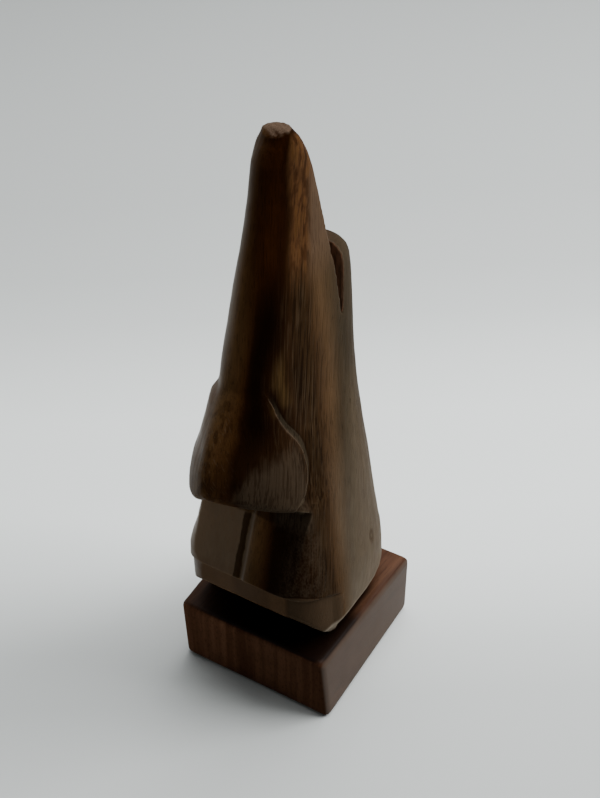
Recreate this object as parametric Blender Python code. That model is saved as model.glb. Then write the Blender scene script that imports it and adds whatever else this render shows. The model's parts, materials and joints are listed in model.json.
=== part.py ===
"""Eyeglasses display stand: a carved rosewood nose screwed to a square wooden base.

Metres, +Z up. The stand faces -Y and is symmetric about X = 0. The origin is the middle of the
base's underside, so the stand rests on Z = 0.

    nose_carving       one block of rosewood: nose, lips and chin, with a slot for folded temples
    base_block         the square foot, its edges eased, drilled and countersunk from below
    base_screw_left    wood screw through the base into the carving
    base_screw_right   the same on the other side

The carving is built as a carver works it: a block tapered by stations, the nose left standing
proud with a crease behind each wing, then saw cuts for the slot, the nose's underside, the lip
and the jaw, and gouge cuts for the chin band and the philtrum.
"""

import math

import bmesh
import bpy
from mathutils import Matrix, Vector

# ---------------------------------------------------------------- base block
BASE_WIDTH = 0.0480
BASE_DEPTH = 0.0515
BASE_HEIGHT = 0.0222
BASE_EDGE_RADIUS = 0.0017
SEAT_GAP = 0.0003              # between the base and the carving's foot

# ---------------------------------------------------------------- wood screws
SCREW_SPACING = 0.0200         # between the two screws, across the stand
SCREW_SETBACK = 0.0080         # screws behind the middle of the base
SCREW_LENGTH = 0.0320
SHANK_DIAMETER = 0.0035
HEAD_DIAMETER = 0.0075
HEAD_RIM = 0.0004              # straight rim below the head's cone
HEAD_CONE = 0.0022
HEAD_RECESS = 0.0008           # head above the underside of the base
POINT_LENGTH = 0.0050
POINT_TIP_RADIUS = 0.0004
DRIVE_SLOT_WIDTH = 0.0011
DRIVE_SLOT_DEPTH = 0.0009
SCREW_CLEARANCE = 0.0003       # round the head, the shank and the point

# ---------------------------------------------------------------- carving, seen from the side
# Heights are above the carving's foot. Depths are along Y, with the front at -Y.
CARVING_HEIGHT = 0.1459
CARVING_WIDTH = 0.0460         # across the foot
CARVING_DEPTH = 0.0492         # of the foot's block, from front to back
FOOT_EDGE_RADIUS = 0.0020
FOOT_FRONT = -0.0140           # where the jaw's undercut leaves the foot
CHIN_FRONT = -0.0270
CHIN_BOTTOM = 0.0150
CHIN_CHAMFER = 0.0014
LIP_FRONT = -0.0285
LIP_HEIGHT = 0.0238
LIP_STEP = 0.0010              # the chin band lies this far behind the lip and the cheeks
LIP_LINE_DROP = 0.0100         # fall of the lip line from the front to the ends of the band
CHIN_BAND_END = -0.0113        # depth at which the chin band stops on each cheek
NOTCH_DEPTH = -0.0175          # inner corner between the nose and the lip
NOTCH_HEIGHT = 0.0480
NOSE_UNDERSIDE_RISE = 0.58     # rise of the nose's underside per length towards the tip

# ---------------------------------------------------------------- carving: nose and philtrum
NOSE_TOP = 0.0865              # the wings' creases have run out above this height
WING_FADE = 0.0045             # a wing comes to its full width within this height
RIDGE_FADE = 0.0160            # the ridge swells more slowly
NOSE_BOTTOM_FADE = 0.0020
NOSE_BACK = -0.0170            # depth at which the nose has its full width
TIP_ROUNDING = 0.0034          # rounding of the tip into the underside
WING_ROUNDING = 0.0011         # the same along the wings
CREASE_WIDTH = 0.0024          # gouge cut behind each wing
CREASE_DEPTH = 0.0007
PHILTRUM_RADIUS = 0.0016
PHILTRUM_DEPTH = 0.0006
PHILTRUM_START = 0.0014        # below the inner corner under the nose
PHILTRUM_OVERRUN = 0.0006      # the gouge runs out past the lip's edge
PHILTRUM_SEGMENTS = 12

# ---------------------------------------------------------------- carving: slot and back lobe
SLOT_BOTTOM = 0.0940
SLOT_SETBACK = 0.0088          # depth of the slot's bottom edge
SLOT_BOTTOM_WIDTH = 0.0006
SLOT_FRONT_LEAN = 0.0010       # the front wall leans forward by this up to the top of the lobe
SLOT_OPENING = 0.0052          # width of the slot at the top of the lobe
LOBE_TOP = 0.1120
LOBE_ROUNDING = 0.0048

# Stations of the block, as shares of CARVING_HEIGHT, half of CARVING_WIDTH and half of CARVING_DEPTH:
# height, half width, depth of the widest place, depth of the front, fullness of front and back.
BLOCK = (
    (0.000, 1.000, -0.285, -1.179, 3.40, 3.30),
    (0.083, 0.991, -0.268, -1.179, 3.50, 3.20),
    (0.158, 0.943, -0.211, -1.190, 3.90, 3.00),
    (0.231, 0.874, -0.154, -1.065, 4.80, 2.85),
    (0.300, 0.817, -0.089, -0.945, 4.50, 2.75),
    (0.350, 0.763, -0.024, -1.590, 2.10, 2.65),
    (0.380, 0.727, 0.028, -1.630, 1.95, 2.60),
    (0.410, 0.691, 0.077, -1.638, 1.90, 2.60),
    (0.450, 0.643, 0.134, -1.600, 2.00, 2.60),
    (0.493, 0.600, 0.203, -1.463, 1.98, 2.60),
    (0.541, 0.561, 0.272, -1.255, 2.25, 2.60),
    (0.572, 0.546, 0.302, -1.125, 2.35, 2.60),
    (0.596, 0.535, 0.325, -1.033, 2.35, 2.60),
    (0.648, 0.517, 0.358, -0.907, 2.15, 2.70),
    (0.741, 0.461, 0.317, -0.724, 2.00, 3.20),
    (0.813, 0.378, 0.236, -0.561, 2.00, 2.50),
    (0.879, 0.326, 0.142, -0.407, 2.00, 2.40),
    (0.948, 0.278, 0.061, -0.276, 2.00, 2.20),
    (0.982, 0.226, 0.024, -0.179, 2.00, 2.00),
    (1.000, 0.165, 0.016, -0.118, 2.00, 2.00),
)
HEIGHT, HALF_WIDTH, WIDEST, FRONT, FRONT_FULLNESS, BACK_FULLNESS = range(6)

# Back of the block with its lobe, and back of the slab in front of the slot: height, depth.
LOBE_BACK = ((0.000, 1.000), (0.158, 0.988), (0.355, 0.939), (0.541, 0.878), (0.780, 0.846))
SLAB_BACK = ((0.770, 0.740), (0.879, 0.460), (0.948, 0.335), (0.982, 0.228), (1.000, 0.138))

# Stations of the nose, whose ridge is the block's front: height, half width, depth of the crease,
# pointedness.
NOSE = (
    (0.345, 0.700, -0.902, 0.85),
    (0.372, 0.700, -0.752, 0.82),
    (0.409, 0.674, -0.634, 0.80),
    (0.442, 0.635, -0.610, 0.75),
    (0.472, 0.591, -0.646, 0.68),
    (0.489, 0.562, -0.695, 0.62),
    (0.534, 0.500, -0.825, 0.53),
    (0.572, 0.461, -0.858, 0.50),
    (0.610, 0.413, -0.837, 0.50),
    (0.800, 0.374, -0.447, 0.50),
    (1.000, 0.165, -0.057, 0.50),
)
NOSE_HALF_WIDTH, CREASE, POINTEDNESS = range(1, 4)
NOSE_ROUNDNESS = 2.1

# ---------------------------------------------------------------- fineness of the mesh
NOSE_STEPS = 11                # outline points from the ridge to a crease
FLANK_STEPS = 7                # from a crease to the widest place
BACK_STEPS = 10                # from there to the middle of the back
RING_SPACING = 0.0030
SCREW_SEGMENTS = 20
FAR = 0.0800                   # cutters reach this far outside the carving

SMOOTH_ANGLE = math.radians(32)


# ---------------------------------------------------------------- shapes of the carving
def smooth_step(value):
    """0 below 0, 1 above 1, and smooth in between."""
    value = min(max(value, 0.0), 1.0)
    return value * value * (3.0 - 2.0 * value)


def template(rows, column, height):
    """Share in a column of stations at a height, by a cubic that never overshoots."""
    share = height / CARVING_HEIGHT
    if share <= rows[0][0]:
        return rows[0][column]
    if share >= rows[-1][0]:
        return rows[-1][column]
    index = next(i for i in range(len(rows) - 1) if share < rows[i + 1][0])
    low, high = rows[index], rows[index + 1]
    span = high[0] - low[0]
    t = (share - low[0]) / span
    slope_low = template_slope(rows, column, index) * span
    slope_high = template_slope(rows, column, index + 1) * span
    return (low[column] * (1 + 2 * t) * (1 - t) ** 2 + slope_low * t * (1 - t) ** 2
            + high[column] * (3 - 2 * t) * t ** 2 + slope_high * (t - 1) * t ** 2)


def template_slope(rows, column, index):
    """Slope at a station: the mean of both sides, or zero at a turning point."""
    if index in (0, len(rows) - 1):
        return 0.0
    before, here, after = rows[index - 1:index + 2]
    left = (here[column] - before[column]) / (here[0] - before[0])
    right = (after[column] - here[column]) / (after[0] - here[0])
    return 0.0 if left * right <= 0 else 2 * left * right / (left + right)


def width_at(rows, column, height):
    """Half width from a column of stations at a height."""
    return template(rows, column, height) * CARVING_WIDTH / 2


def depth_at(rows, column, height):
    """Depth along Y from a column of stations at a height."""
    return template(rows, column, height) * CARVING_DEPTH / 2


def block_x(y, z):
    """Half width of the plain block in front of its widest place."""
    widest = depth_at(BLOCK, WIDEST, z)
    power = template(BLOCK, FRONT_FULLNESS, z)
    t = min(max((widest - y) / (widest - depth_at(BLOCK, FRONT, z)), 0.0), 1.0)
    return width_at(BLOCK, HALF_WIDTH, z) * (1.0 - t ** power) ** (1.0 / power)


def nose_x(y, z):
    """Half width of the nose, from its ridge back to the wings."""
    t = min(max((NOSE_BACK - y) / (NOSE_BACK - depth_at(BLOCK, FRONT, z)), 0.0), 1.0)
    sharpness = template(NOSE, POINTEDNESS, z)
    return width_at(NOSE, NOSE_HALF_WIDTH, z) * (1.0 - t ** NOSE_ROUNDNESS) ** sharpness


def above_notch(height):
    """1 for sections through the nose, 0 for those below its underside."""
    return smooth_step((height - NOTCH_HEIGHT) / NOSE_BOTTOM_FADE + 1.5)


def nose_share(height, z, outward):
    """1 where the nose stands proud of the block; outward is 0 on the ridge and 1 at a crease."""
    fade = WING_FADE + (RIDGE_FADE - WING_FADE) * (1.0 - outward) ** 2
    return smooth_step((NOSE_TOP - z) / fade) * above_notch(height)


def tilt(height):
    """Slope of a section: level at the top and the lip, parallel to the nose's underside there."""
    above = (height - NOTCH_HEIGHT) / (NOSE_TOP - NOTCH_HEIGHT)
    below = (NOTCH_HEIGHT - height) / (NOTCH_HEIGHT - LIP_HEIGHT)
    return NOSE_UNDERSIDE_RISE * (1.0 - smooth_step(max(above, below)))


def lifted(height, y):
    """Height of a section's point at a depth."""
    return height + tilt(height) * max(0.0, NOTCH_DEPTH - y)


def settle(height, depth_of):
    """Depth y where a section meets a line given as depth over height."""
    y = depth_of(height)
    for _ in range(30):
        y = 0.5 * y + 0.5 * depth_of(lifted(height, y))
    return y


def front_x(height, y, outward):
    """Half width of a section in front of a crease."""
    z = lifted(height, y)
    share = nose_share(height, z, outward)
    plain = block_x(y, z)
    return plain + share * (nose_x(y, z) - plain) if share else plain


def nose_outline(height):
    """Right half of a section in front of the widest place: ridge, wing, crease and flank."""
    ridge = settle(height, lambda z: depth_at(BLOCK, FRONT, z))
    crease = settle(height, lambda z: depth_at(NOSE, CREASE, z))
    widest = depth_at(BLOCK, WIDEST, height)
    points = [(0.0, ridge)]
    for step in range(1, NOSE_STEPS + 1):
        outward = step / NOSE_STEPS
        y = ridge + (crease - ridge) * outward ** 1.8
        points.append((front_x(height, y, outward), y))
    share = nose_share(height, lifted(height, crease), 1.0)
    width = min(CREASE_WIDTH, 0.3 * (widest - crease))
    for along, deep in ((0.12, 0.75), (0.40, 1.0), (0.70, 0.6), (1.0, 0.15)):
        y = crease + width * along
        points.append((block_x(y, lifted(height, y)) - CREASE_DEPTH * share * deep, y))
    start = points[-1][1]
    for step in range(1, FLANK_STEPS + 1):
        y = start + (widest - start) * step / FLANK_STEPS
        points.append((block_x(y, lifted(height, y)), y))
    return points


def back_outline(height):
    """Right half of a section behind the widest place, to the middle of the back."""
    half = width_at(BLOCK, HALF_WIDTH, height)
    widest = depth_at(BLOCK, WIDEST, height)
    power = 2.0 / template(BLOCK, BACK_FULLNESS, height)
    back = depth_at(LOBE_BACK if height <= LOBE_TOP else SLAB_BACK, 1, height) - widest
    points = []
    for step in range(1, BACK_STEPS + 1):
        angle = math.pi / 2 * step / BACK_STEPS
        x = half * math.cos(angle) ** power if step < BACK_STEPS else 0.0
        points.append((x, widest + back * math.sin(angle) ** power))
    return points


def rounding(radius, distance):
    """Inset of a surface at a distance from the edge that it is rounded over to."""
    left = max(radius - max(distance, 0.0), 0.0)
    return radius - math.sqrt(radius * radius - left * left)


def moved_in(points, insets):
    """Right half of a section moved inwards, by a different amount at every point."""
    moved = []
    for index, (x, y) in enumerate(points):
        before = points[index - 1] if index else (-points[1][0], points[1][1])
        after = points[index + 1] if index + 1 < len(points) else (-points[-2][0], points[-2][1])
        along = Vector((after[0] - before[0], after[1] - before[1])).normalized()
        moved.append((x - along.y * insets[index], y + along.x * insets[index]))
    moved[0] = (0.0, moved[0][1])
    moved[-1] = (0.0, moved[-1][1])
    return moved


def rounded_nose(points, height):
    """Front of a section drawn in towards the wings, where the nose is rounded underneath."""
    tip = above_notch(height) * rounding(TIP_ROUNDING, height - NOTCH_HEIGHT)
    wing = above_notch(height) * rounding(WING_ROUNDING, height - NOTCH_HEIGHT)
    ridge = points[0][1]
    width, crease = points[NOSE_STEPS]
    drawn = [(x - wing * x / width, y + tip * (crease - y) / (crease - ridge))
             for x, y in points[:NOSE_STEPS + 1]]
    return drawn + points[NOSE_STEPS + 1:]


def section(height, inset=0.0):
    """Closed ring of points round the carving, from the ridge round the right side."""
    front = rounded_nose(nose_outline(height), height)
    back = back_outline(height)
    top = rounding(LOBE_ROUNDING, LOBE_TOP - height) if height <= LOBE_TOP else 0.0
    right = moved_in(front + back, [inset] * len(front) + [inset + top] * len(back))
    left = [(-x, y) for x, y in reversed(right[1:-1])]
    return [(x, y, lifted(height, y)) for x, y in right + left]


def section_heights():
    """Heights of the sections from the foot to the peak, close together at every rounding."""
    def spread(low, high):
        count = max(1, round((high - low) / RING_SPACING))
        return [low + (high - low) * step / count for step in range(1, count + 1)]
    heights = [0.0]
    heights += spread(FOOT_EDGE_RADIUS, NOTCH_HEIGHT - 2 * NOSE_BOTTOM_FADE)
    heights += [NOTCH_HEIGHT - NOSE_BOTTOM_FADE * share for share in (1.5, 1.0, 0.5)]
    heights += [NOTCH_HEIGHT + TIP_ROUNDING * share for share in (0.05, 0.20, 0.45, 0.75, 1.1)]
    heights += spread(heights[-1], NOSE_TOP - WING_FADE * 1.2)
    heights += [NOSE_TOP - WING_FADE * share for share in (0.95, 0.7, 0.45, 0.2, 0.0)]
    heights += spread(NOSE_TOP, LOBE_TOP - LOBE_ROUNDING)
    heights += [LOBE_TOP - LOBE_ROUNDING * share for share in (0.6, 0.3, 0.1, 0.0)]
    slab = CARVING_HEIGHT - LOBE_TOP
    heights += [LOBE_TOP + slab * math.sin(math.pi / 2 * share)
                for share in (0.01, 0.12, 0.24, 0.36, 0.47, 0.57, 0.66, 0.74, 0.82, 0.89, 0.95, 1.0)]
    return heights


def carving_rings(inset=0.0):
    """Sections of the whole block, with the edge of the foot rounded over."""
    rings = []
    for share in (0.0, 0.15, 0.5):
        height = FOOT_EDGE_RADIUS * share
        rings.append(section(height, inset + rounding(FOOT_EDGE_RADIUS, height)))
    return rings + [section(height, inset) for height in section_heights()[1:]]


# ---------------------------------------------------------------- meshes and cuts
def mesh_object(name, bm):
    """Scene object from a bmesh, its faces turned outwards."""
    bmesh.ops.recalc_face_normals(bm, faces=bm.faces)
    mesh = bpy.data.meshes.new(name)
    bm.to_mesh(mesh)
    bm.free()
    obj = bpy.data.objects.new(name, mesh)
    bpy.context.scene.collection.objects.link(obj)
    return obj


def loft(name, rings):
    """Closed body through rings that all have the same number of points."""
    bm = bmesh.new()
    loops = [[bm.verts.new(point) for point in ring] for ring in rings]
    for lower, upper in zip(loops, loops[1:]):
        for i in range(len(lower)):
            j = (i + 1) % len(lower)
            bm.faces.new((lower[i], lower[j], upper[j], upper[i]))
    bm.faces.new(list(reversed(loops[0])))
    bm.faces.new(loops[-1])
    return mesh_object(name, bm)


def side_prism(name, outline):
    """Cutter with a side view (y, z) that runs right through the carving along X."""
    return loft(name, [[(x, y, z) for y, z in outline] for x in (-FAR, FAR)])


def turned(name, profile):
    """Closed body of revolution about the Z axis, from a profile of (radius, z)."""
    angles = [2 * math.pi * step / SCREW_SEGMENTS for step in range(SCREW_SEGMENTS)]
    return loft(name, [[(radius * math.cos(a), radius * math.sin(a), z) for a in angles]
                       for radius, z in profile])


def placed(obj, x, y, z, parent=None):
    """The object, moved to its place and hung on its parent."""
    obj.location = (x, y, z)
    obj.parent = parent
    return obj


def cut(target, cutter):
    """Take the cutter away from the target, then remove the cutter."""
    modifier = target.modifiers.new(cutter.name, "BOOLEAN")
    modifier.operation = "DIFFERENCE"
    modifier.solver = "EXACT"
    modifier.object = cutter
    uncut, tool = target.data, cutter.data
    graph = bpy.context.evaluated_depsgraph_get()
    target.data = bpy.data.meshes.new_from_object(target.evaluated_get(graph))
    target.modifiers.clear()
    bpy.data.objects.remove(cutter)
    bpy.data.meshes.remove(uncut)
    bpy.data.meshes.remove(tool)


def slot_cutter():
    """Saw kerf for the temples, wider at the top, open above the lobe."""
    top = SLOT_SETBACK - SLOT_FRONT_LEAN
    above = LOBE_TOP + 0.00005
    return side_prism("slot", (
        (SLOT_SETBACK, SLOT_BOTTOM), (top, above), (top, 2 * FAR), (FAR, 2 * FAR), (FAR, above),
        (top + SLOT_OPENING, above), (SLOT_SETBACK + SLOT_BOTTOM_WIDTH, SLOT_BOTTOM)))


def face_cutter():
    """Everything in front of the lip, the chin and the underside of the nose."""
    return side_prism("face", (
        (NOTCH_DEPTH, NOTCH_HEIGHT), (LIP_FRONT, LIP_HEIGHT),
        (LIP_FRONT + LIP_STEP, LIP_HEIGHT - 0.6 * LIP_STEP), (CHIN_FRONT, CHIN_BOTTOM),
        (CHIN_FRONT, -FAR), (-FAR, -FAR), (-FAR, NOTCH_HEIGHT + (NOTCH_DEPTH + FAR) * NOSE_UNDERSIDE_RISE)))


def jaw_cutter():
    """Undercut from the front edge of the foot up to the chin, with a chamfer under the chin."""
    slope = CHIN_BOTTOM / (FOOT_FRONT - CHIN_FRONT)
    return side_prism("jaw", (
        (FOOT_FRONT, 0.0), (CHIN_FRONT + CHIN_CHAMFER, CHIN_BOTTOM - slope * CHIN_CHAMFER),
        (CHIN_FRONT, CHIN_BOTTOM + 0.5 * CHIN_CHAMFER), (-FAR, CHIN_BOTTOM + 0.5 * CHIN_CHAMFER),
        (-FAR, -FAR), (FOOT_FRONT + FAR / slope, -FAR)))


def band_cutter():
    """Shallow band under the lip line, round the chin to a stop on each cheek."""
    slope = LIP_LINE_DROP / (CHIN_BAND_END - LIP_FRONT)
    cutter = side_prism("band", (
        (CHIN_BAND_END, LIP_HEIGHT - LIP_LINE_DROP), (-FAR, LIP_HEIGHT + slope * (LIP_FRONT + FAR)),
        (-FAR, -FAR), (CHIN_BAND_END, -FAR)))
    heights = [LIP_HEIGHT * share for share in (-0.4, 0.0, 0.17, 0.34, 0.5, 0.67, 0.84, 1.0, 1.17, 1.34)]
    cut(cutter, loft("inside", [section(height, LIP_STEP) for height in heights]))
    return cutter


def philtrum_cutter():
    """Round gouge down the middle of the lip."""
    start = Vector((0.0, NOTCH_DEPTH, NOTCH_HEIGHT))
    end = Vector((0.0, LIP_FRONT, LIP_HEIGHT))
    down = (end - start).normalized()
    outward = Vector((0.0, down.z, -down.y))
    length = (end - start).length
    rings = []
    for along, size in ((PHILTRUM_START, 0.5), (PHILTRUM_START * 2.5, 0.9), (length, 1.0),
                        (length + PHILTRUM_OVERRUN, 1.0)):
        radius = PHILTRUM_RADIUS * size
        centre = start + down * along + outward * (radius - PHILTRUM_DEPTH * size)
        angles = [2 * math.pi * step / PHILTRUM_SEGMENTS for step in range(PHILTRUM_SEGMENTS)]
        rings.append([centre + Vector((radius * math.cos(a), 0, 0)) + outward * radius * math.sin(a)
                      for a in angles])
    return loft("philtrum", rings)


# ---------------------------------------------------------------- the four pieces
def screw_profile(clearance=0.0):
    """Profile (radius, z) of a screw from its head up; a hole has the clearance added all round."""
    shank = SHANK_DIAMETER / 2 + clearance
    head = HEAD_DIAMETER / 2 + clearance
    bottom = -HEAD_RECESS - clearance if clearance else 0.0
    return ((head, bottom), (head, HEAD_RIM + clearance), (shank, HEAD_RIM + HEAD_CONE + clearance),
            (shank, SCREW_LENGTH - POINT_LENGTH), (POINT_TIP_RADIUS + clearance, SCREW_LENGTH + clearance))


def make_screw():
    """Countersunk slotted wood screw, head down, with its head's face at the origin."""
    screw = turned("base_screw_left", screw_profile())
    half, wide = DRIVE_SLOT_WIDTH / 2, HEAD_DIAMETER
    outline = ((-half, -wide), (half, -wide), (half, wide), (-half, wide))
    cut(screw, loft("drive", [[(x, y, z) for x, y in outline] for z in (-HEAD_RECESS, DRIVE_SLOT_DEPTH)]))
    return screw


def make_base():
    """Square block with eased edges."""
    bm = bmesh.new()
    bmesh.ops.create_cube(bm, size=1.0)
    for vert in bm.verts:
        vert.co = Vector((vert.co.x * BASE_WIDTH, vert.co.y * BASE_DEPTH, (vert.co.z + 0.5) * BASE_HEIGHT))
    bmesh.ops.bevel(bm, geom=bm.edges[:], offset=BASE_EDGE_RADIUS, segments=4, profile=0.5, affect="EDGES")
    return mesh_object("base_block", bm)


def make_carving():
    """The nose: tapered block with the nose standing proud, then the saw and gouge cuts."""
    carving = loft("nose_carving", carving_rings())
    for cutter in (slot_cutter, band_cutter, face_cutter, jaw_cutter, philtrum_cutter):
        cut(carving, cutter())
    return carving


def material(name, colour, roughness, metallic=0.0):
    """Plain Principled material."""
    made = bpy.data.materials.new(name)
    made.use_nodes = True
    shader = made.node_tree.nodes["Principled BSDF"]
    shader.inputs["Base Color"].default_value = (*colour, 1.0)
    shader.inputs["Roughness"].default_value = roughness
    shader.inputs["Metallic"].default_value = metallic
    made.diffuse_color = (*colour, 1.0)
    return made


def finish(obj, surface):
    """Give a piece its material and smooth shading between its real edges."""
    obj.data.materials.clear()
    obj.data.materials.append(surface)
    obj.data.shade_smooth()
    obj.data.set_sharp_from_angle(angle=SMOOTH_ANGLE)


def main():
    """Build the four pieces of the stand and set them together."""
    for obj in list(bpy.data.objects):
        bpy.data.objects.remove(obj)
    stand = bpy.data.objects.new("stand", None)
    bpy.context.scene.collection.objects.link(stand)
    base = placed(make_base(), 0.0, 0.0, 0.0, stand)
    carving = placed(make_carving(), 0.0, 0.0, BASE_HEIGHT + SEAT_GAP, stand)
    left = make_screw()
    right = left.copy()
    right.name = "base_screw_right"
    bpy.context.scene.collection.objects.link(right)
    for screw, x in ((left, -SCREW_SPACING / 2), (right, SCREW_SPACING / 2)):
        placed(screw, x, SCREW_SETBACK, HEAD_RECESS, stand)
        for piece in (base, carving):
            hole = turned("hole", screw_profile(SCREW_CLEARANCE))
            cut(piece, placed(hole, x, SCREW_SETBACK, HEAD_RECESS))
    finish(carving, material("carved_rosewood", (0.055, 0.030, 0.016), 0.42))
    finish(base, material("base_rosewood", (0.075, 0.032, 0.018), 0.45))
    finish(left, material("screw_steel", (0.52, 0.50, 0.46), 0.38, 1.0))


main()
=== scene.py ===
"""Finishes, light and camera of a carved wooden stand for one pair of eyeglasses.

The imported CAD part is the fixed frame, on which each sub-assembly builds and dresses its pieces.
Lengths are in metres unless a name ends in _mm; the materials work in millimetres.
"""

from __future__ import annotations

import json
import logging
import math
from dataclasses import dataclass
from enum import Enum
from typing import Callable

import bmesh
import bpy
import numpy as np
from mathutils import Matrix, Vector

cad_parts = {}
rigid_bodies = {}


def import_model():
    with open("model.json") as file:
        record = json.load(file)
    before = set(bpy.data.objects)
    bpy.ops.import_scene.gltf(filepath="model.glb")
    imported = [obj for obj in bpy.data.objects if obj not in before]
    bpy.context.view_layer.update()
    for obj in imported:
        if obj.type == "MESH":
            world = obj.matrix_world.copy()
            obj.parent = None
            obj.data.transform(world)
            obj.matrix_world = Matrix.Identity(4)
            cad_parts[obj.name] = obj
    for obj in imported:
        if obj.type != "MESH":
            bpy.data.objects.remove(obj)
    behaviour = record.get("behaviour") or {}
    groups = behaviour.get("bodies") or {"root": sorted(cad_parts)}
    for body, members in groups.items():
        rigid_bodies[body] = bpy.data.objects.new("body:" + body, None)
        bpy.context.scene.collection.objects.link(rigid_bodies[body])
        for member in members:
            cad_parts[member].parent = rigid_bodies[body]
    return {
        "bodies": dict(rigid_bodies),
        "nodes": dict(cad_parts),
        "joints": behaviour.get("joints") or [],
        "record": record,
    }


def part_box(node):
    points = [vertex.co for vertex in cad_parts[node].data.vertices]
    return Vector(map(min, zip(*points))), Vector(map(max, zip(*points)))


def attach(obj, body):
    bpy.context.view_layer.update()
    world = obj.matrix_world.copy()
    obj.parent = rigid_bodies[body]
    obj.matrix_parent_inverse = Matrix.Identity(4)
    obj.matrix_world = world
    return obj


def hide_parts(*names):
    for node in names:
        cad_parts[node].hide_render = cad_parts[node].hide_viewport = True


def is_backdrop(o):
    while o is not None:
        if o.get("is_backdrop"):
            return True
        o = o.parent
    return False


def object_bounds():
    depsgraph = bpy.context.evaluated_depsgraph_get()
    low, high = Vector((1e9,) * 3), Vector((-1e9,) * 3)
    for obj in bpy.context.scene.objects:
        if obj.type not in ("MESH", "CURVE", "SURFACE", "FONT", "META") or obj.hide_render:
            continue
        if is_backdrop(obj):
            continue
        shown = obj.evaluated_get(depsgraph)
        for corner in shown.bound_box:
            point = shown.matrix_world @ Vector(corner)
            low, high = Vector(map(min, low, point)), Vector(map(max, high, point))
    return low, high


Triple = tuple[float, float, float]
Colour = Triple  # linear red, green and blue
Span = tuple[float, float]  # where something starts, and where it is full
Spot = tuple["Wire", ...]  # x, y, z in millimetres, and sometimes the ring
Piece = bpy.types.Object

LOG = logging.getLogger("stand")
BODY = "root"
WOOD_SHEEN = 0.004
EDGE_MARK = "edge_bend"
HOLLOW_MARK = "hollow_bend"
CHIN_LIFT_MM = 1.8  # rise of the chin's upper edge at the right side
CHIN_LIFT_ACROSS: Span = (12.0, 19.0)


# ---- soft regions


def slope(values: np.ndarray, low: float, high: float) -> np.ndarray:
    """Climbs smoothly from 0 at low to 1 at high, for arrays; low may be the greater."""
    share = np.clip((values - low) / (high - low), 0.0, 1.0)
    return share * share * (3.0 - 2.0 * share)


@dataclass(frozen=True)
class Zone:
    """A soft-edged region, bounded by spans in millimetres or growth rings."""

    x: tuple[Span, ...] = ()
    y: tuple[Span, ...] = ()
    z: tuple[Span, ...] = ()
    ring: tuple[Span, ...] = ()

    def share(self, spot: Spot | np.ndarray, climb: Callable[..., object]) -> Wire | np.ndarray:
        """Gives how far a spot lies inside, from 0 to 1; climb is Wire.rise, or slope for arrays."""
        sides = zip(spot, (self.x, self.y, self.z, self.ring))
        return math.prod(climb(at, *span) for at, spans in sides for span in spans)


# ---- shader maths


class Wire:
    """A node's output, which Python's operators combine with numbers and other wires."""

    def __init__(self, graph: Graph, socket: bpy.types.NodeSocket) -> None:
        """Wraps an output of the graph."""
        self.graph = graph
        self.socket = socket

    def _math(self, operation: str, *values: Wire | float) -> Wire:
        """Adds a Math node that works on the values."""
        return self.graph.node("ShaderNodeMath", {"operation": operation}, dict(enumerate(values)))

    def __add__(self, other: Wire | float) -> Wire:
        """Adds."""
        return self._math("ADD", self, other)

    __radd__ = __add__

    def __sub__(self, other: Wire | float) -> Wire:
        """Subtracts the other from this."""
        return self._math("SUBTRACT", self, other)

    def __rsub__(self, other: float) -> Wire:
        """Subtracts this from a number."""
        return self._math("SUBTRACT", other, self)

    def __mul__(self, other: Wire | float) -> Wire:
        """Multiplies."""
        return self._math("MULTIPLY", self, other)

    __rmul__ = __mul__

    def __pow__(self, other: float) -> Wire:
        """Raises this to a power."""
        return self._math("POWER", self, other)

    def size(self) -> Wire:
        """Drops the sign."""
        return self._math("ABSOLUTE", self)

    def rise(self, low: float, high: float) -> Wire:
        """Climbs smoothly from 0 at low to 1 at high.

        Args:
            low: the value that gives 0.
            high: the value that gives 1, which may be below low.

        Returns:
            The share, held between 0 and 1.
        """
        if high < low:
            return 1.0 - self.rise(high, low)
        settings = {"interpolation_type": "SMOOTHSTEP"}
        inputs = {"Value": self, "From Min": low, "From Max": high}
        return self.graph.node("ShaderNodeMapRange", settings, inputs)

    def hump(self, middle: float, half: float) -> Wire:
        """Is 1 at the middle and falls to 0 at half a width on both sides."""
        return (self - middle).size().rise(half, 0.0)


@dataclass(frozen=True)
class Noise:
    """Soft noise: the size of its blobs by axis, its finer layers and its seed."""

    blob_mm: Triple
    detail: float
    seed: float


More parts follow.
